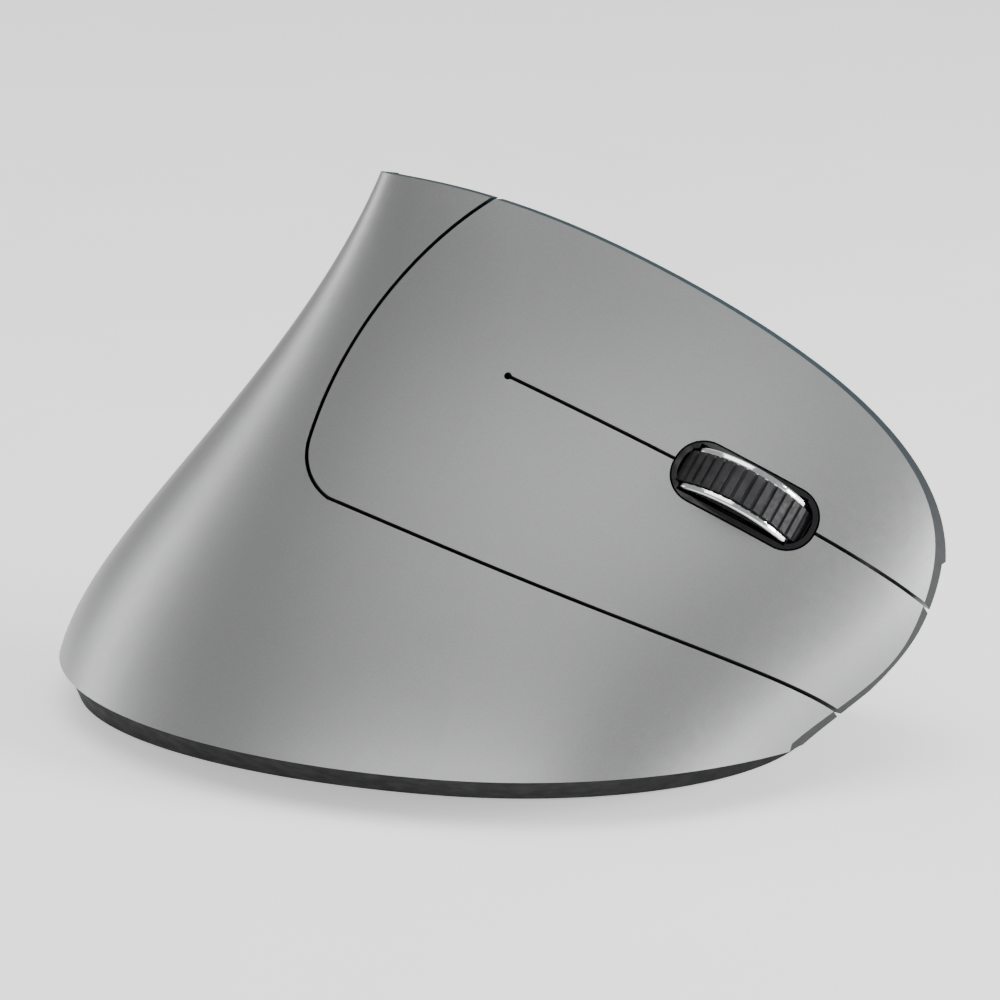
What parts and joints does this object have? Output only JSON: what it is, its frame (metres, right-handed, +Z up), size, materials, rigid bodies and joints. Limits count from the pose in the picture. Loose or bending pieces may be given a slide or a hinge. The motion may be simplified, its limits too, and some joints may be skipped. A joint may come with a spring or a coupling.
{
  "type": "computer mouse",
  "caption": "Wireless vertical computer mouse for the right hand, silver finger side, black thumb side, scroll wheel, thumb buttons, battery bay and receiver.",
  "frame": {"origin": "middle of the bounding box at desk height", "axes": "+Y is the front with the wheel, +X the finger side, +Z up"},
  "size_m": [0.0624, 0.1222, 0.073],
  "materials": {
    "silver_cover": "satin silver metallic paint on moulded plastic, dark grey on the edges",
    "black_shell": "fine grained matte black plastic",
    "black_base": "fine grained matte black plastic",
    "side_button": "soft touch dark grey",
    "gloss_black": "polished black",
    "wheel_rubber": "ribbed black rubber",
    "wheel_chrome": "bright plated plastic",
    "steel": "plain",
    "inner_black": "as moulded",
    "inner_white": "as moulded",
    "inner_green": "as moulded",
    "circuit_board": "solder mask",
    "switch_case": "as moulded",
    "switch_plunger": "as moulded",
    "flat_cable": "polyimide film",
    "chip": "moulded epoxy",
    "clear_lens": "clear moulded plastic",
    "red_led": "tinted clear",
    "slider_orange": "as moulded",
    "battery_can": null,
    "contact_metal": "nickel plated",
    "glide_foot": "slippery fluoropolymer"
  },
  "bodies": {
    "housing": {"finger_cover": "silver_cover", "key_plate": "silver_cover", "thumb_shell": "black_shell", "base_shell": "black_base", "wheel_surround": "gloss_black", "cradle_spring": "steel", "key_board": "circuit_board", "thumb_board": "circuit_board", "main_board": "circuit_board", "key_frame": "inner_black", "small_board_screws": "steel", "board_screws": "steel", "base_screws": "steel", "primary_switch": "switch_case", "secondary_switch": "switch_case", "middle_switch": "switch_case", "back_switch": "switch_case", "forward_switch": "switch_case", "dpi_switch": "switch_case", "flat_cable": "flat_cable", "cable_connector": "inner_white", "sensor_chip": "chip", "controller_chip": "chip", "radio_chip": "chip", "crystal": "steel", "capacitors": "chip", "sensor_lens": "clear_lens", "sensor_led": "red_led", "power_switch": "steel", "battery_cell_left": "battery_can", "battery_cell_right": "battery_can", "battery_contacts": "contact_metal", "battery_springs": "contact_metal", "glide_foot_front": "glide_foot", "glide_foot_rear": "glide_foot", "glide_foot_finger": "glide_foot", "glide_foot_thumb": "glide_foot"},
    "primary_key": {"primary_key": "silver_cover"},
    "secondary_key": {"secondary_key": "silver_cover"},
    "primary_plunger": {"primary_plunger": "switch_plunger"},
    "secondary_plunger": {"secondary_plunger": "switch_plunger"},
    "cradle": {"wheel_cradle": "inner_white", "wheel_encoder": "inner_green"},
    "wheel": {"wheel_hub": "inner_black", "wheel_tyre": "wheel_rubber", "wheel_rim_upper": "wheel_chrome", "wheel_rim_lower": "wheel_chrome", "wheel_axle": "steel"},
    "middle_plunger": {"middle_plunger": "switch_plunger"},
    "back_button": {"back_button": "side_button"},
    "back_plunger": {"back_plunger": "switch_plunger"},
    "forward_button": {"forward_button": "side_button"},
    "forward_plunger": {"forward_plunger": "switch_plunger"},
    "dpi_button": {"dpi_button": "side_button"},
    "dpi_plunger": {"dpi_plunger": "switch_plunger"},
    "power_slider": {"power_slider": "slider_orange"},
    "battery_door": {"battery_door": "black_base"},
    "receiver": {"receiver_grip": "inner_black", "receiver_plug": "contact_metal", "receiver_tongue": "inner_white"}
  },
  "joints": [
    {"name": "primary_key_press", "type": "hinge", "parent": "housing", "child": "primary_key", "pos_m": [-0.00411, 0.00124, 0.05016], "axis": [-0.5765, 0.3759, 0.7255], "range_deg": [0, 0.5], "stiffness_Nm_per_rad": 2.6, "springref_deg": -0.34},
    {"name": "secondary_key_press", "type": "hinge", "parent": "housing", "child": "secondary_key", "pos_m": [-0.00607, 0.00071, 0.04888], "axis": [-0.5765, 0.3759, 0.7255], "range_deg": [0, 0.5], "stiffness_Nm_per_rad": 2.6, "springref_deg": -0.34},
    {"name": "primary_plunger_press", "type": "slide", "parent": "housing", "child": "primary_plunger", "axis": [-0.816, -0.2192, -0.5349], "range_m": [0, 0.00038]},
    {"name": "secondary_plunger_press", "type": "slide", "parent": "housing", "child": "secondary_plunger", "axis": [-0.816, -0.2192, -0.5349], "range_m": [0, 0.00038]},
    {"name": "wheel_press", "type": "slide", "parent": "housing", "child": "cradle", "axis": [-0.816, -0.2192, -0.5349], "range_m": [0, 0.0005], "stiffness_N_per_m": 1500, "springref_m": -0.0004, "deforming": ["cradle_spring"]},
    {"name": "wheel_spin", "type": "hinge", "parent": "cradle", "child": "wheel", "pos_m": [-0.00233, 0.03417, 0.03451], "axis": [-0.5765, 0.3759, 0.7255], "continuous": true},
    {"name": "middle_plunger_press", "type": "slide", "parent": "housing", "child": "middle_plunger", "axis": [-0.816, -0.2192, -0.5349], "range_m": [0, 0.00047]},
    {"name": "back_button_press", "type": "slide", "parent": "housing", "child": "back_button", "axis": [1, 0, 0], "range_m": [0, 0.0004], "stiffness_N_per_m": 1500, "springref_m": -0.0002},
    {"name": "back_plunger_press", "type": "slide", "parent": "housing", "child": "back_plunger", "axis": [1, 0, 0], "range_m": [0, 0.00036]},
    {"name": "forward_button_press", "type": "slide", "parent": "housing", "child": "forward_button", "axis": [1, 0, 0], "range_m": [0, 0.0004], "stiffness_N_per_m": 1500, "springref_m": -0.0002},
    {"name": "forward_plunger_press", "type": "slide", "parent": "housing", "child": "forward_plunger", "axis": [1, 0, 0], "range_m": [0, 0.00036]},
    {"name": "dpi_button_press", "type": "slide", "parent": "housing", "child": "dpi_button", "axis": [1, 0, 0], "range_m": [0, 0.0004], "stiffness_N_per_m": 1500, "springref_m": -0.0002},
    {"name": "dpi_plunger_press", "type": "slide", "parent": "housing", "child": "dpi_plunger", "axis": [1, 0, 0], "range_m": [0, 0.00036]},
    {"name": "power_slide", "type": "slide", "parent": "housing", "child": "power_slider", "axis": [0, 1, 0], "range_m": [0, 0.0024]},
    {"name": "battery_door_off", "type": "slide", "parent": "housing", "child": "battery_door", "axis": [0, 0, -1], "range_m": [0, 0.015]},
    {"name": "receiver_out", "type": "slide", "parent": "housing", "child": "receiver", "axis": [0, 0, -1], "range_m": [0, 0.02]}
  ],
  "couplings": [
    {"joint": "primary_plunger_press", "follows": "primary_key_press", "m_per_rad": 0.04071},
    {"joint": "secondary_plunger_press", "follows": "secondary_key_press", "m_per_rad": 0.04071},
    {"joint": "middle_plunger_press", "follows": "wheel_press", "ratio": 0.9},
    {"joint": "back_plunger_press", "follows": "back_button_press", "ratio": 0.85},
    {"joint": "forward_plunger_press", "follows": "forward_button_press", "ratio": 0.85},
    {"joint": "dpi_plunger_press", "follows": "dpi_button_press", "ratio": 0.85}
  ]
}
